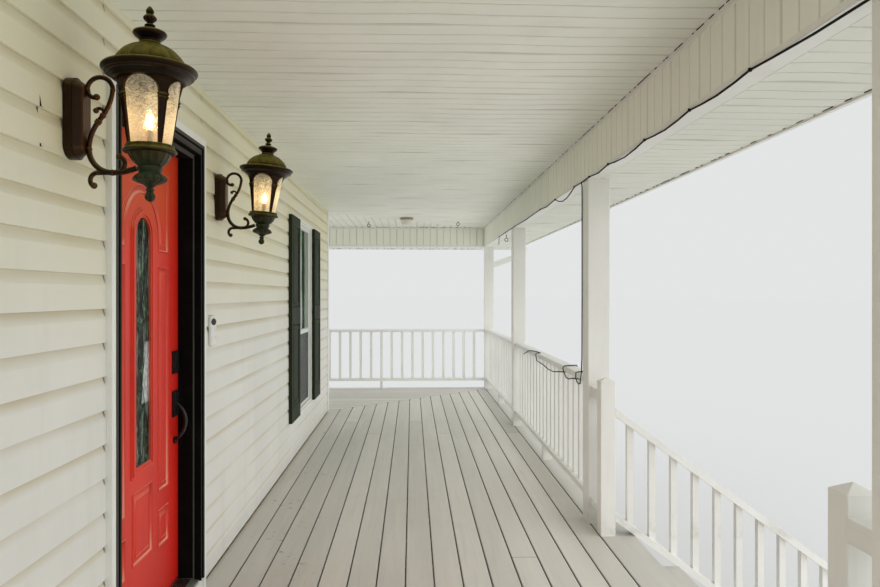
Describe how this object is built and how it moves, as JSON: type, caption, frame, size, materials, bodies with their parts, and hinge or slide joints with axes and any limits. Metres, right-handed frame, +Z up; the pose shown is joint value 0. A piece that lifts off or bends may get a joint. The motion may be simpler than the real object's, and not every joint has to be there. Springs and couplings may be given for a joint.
{
  "type": "front porch",
  "caption": "Covered front porch wrapping round a house corner: deck, posts, railings, stairs, hipped roof, clad wall with a hinged entry door, window and lanterns.",
  "frame": {"origin": "on the ground, at mid-thickness of the front foundation's bottom face, on the entry door's centre line", "axes": "+X away from the house wall, +Y along the front towards the porch's corner, +Z up"},
  "size_m": [5.144, 13.665, 4.4134],
  "materials": {
    "concrete": "rough",
    "wall_board": "matt",
    "cream_siding": "satin",
    "white_trim": "satin",
    "black_paint": "satin",
    "aluminium": "brushed",
    "black_metal": "satin",
    "red_paint": "satin",
    "decorative_glass": "patterned",
    "white_vinyl": "satin",
    "clear_glass": "polished",
    "screen_mesh": "matt mesh",
    "dark_shutter": "satin",
    "lantern_bronze": "aged bronze",
    "seeded_glass": "lightly seeded",
    "lit_glass": "lit, warm",
    "white_plastic": "gloss",
    "deck_paint": "painted, worn",
    "white_paint": "painted",
    "timber": "bare",
    "cream_panel": "satin",
    "white_metal": "satin",
    "shingles": "rough granules",
    "opal_glass": "frosted",
    "zinc": "satin",
    "black_cable": "matt"
  },
  "bodies": {
    "porch": {"front_foundation": "concrete", "side_foundation": "concrete", "front_wall": "wall_board", "wall_infill": "wall_board", "side_wall": "wall_board", "front_siding": "cream_siding", "side_siding": "cream_siding", "wall_trim": "white_trim", "door_frame": "black_paint", "door_casing": "black_paint", "door_threshold": "aluminium", "door_hinges": "black_metal", "window_frame": "white_vinyl", "window_sashes": "white_vinyl", "window_glass": "clear_glass", "window_screen": "screen_mesh", "shutters": "dark_shutter", "lantern_brackets": "lantern_bronze", "lantern_cages": "lantern_bronze", "lantern_glasses": "seeded_glass", "lantern_bulbs": "lit_glass", "doorbell": "white_plastic", "front_deck_boards": "deck_paint", "side_deck_boards": "deck_paint", "deck_skirt": "white_paint", "deck_joists": "timber", "deck_girders": "timber", "deck_piers": "timber", "porch_posts": "white_paint", "newel_posts": "white_paint", "near_rail": "white_paint", "far_rail": "white_paint", "corner_rail": "white_paint", "side_rail": "white_paint", "end_rails": "white_paint", "stub_rails": "white_paint", "stair_rails": "white_paint", "stair_stringers": "timber", "stair_treads": "deck_paint", "stair_risers": "white_paint", "porch_beams": "cream_panel", "front_ceiling": "cream_panel", "side_ceiling": "cream_panel", "eave_soffit": "cream_panel", "fascia_board": "white_paint", "gutter": "white_metal", "downspout": "white_metal", "roof": "shingles", "gable_ends": "cream_siding", "ceiling_light": "opal_glass", "ceiling_hooks": "zinc", "ceiling_trim": "white_trim", "string_cable": "black_cable"},
    "door_leaf": {"front_door": "red_paint", "leaf_hinges": "black_metal", "door_lite_frame": "red_paint", "door_glass": "decorative_glass", "door_handle_set": "black_metal"}
  },
  "joints": [
    {"name": "door_hinge", "type": "hinge", "parent": "porch", "child": "door_leaf", "pos_m": [-0.023, -0.4585, 2.2], "axis": [0, 0, 1], "range_deg": [0, 95]}
  ]
}
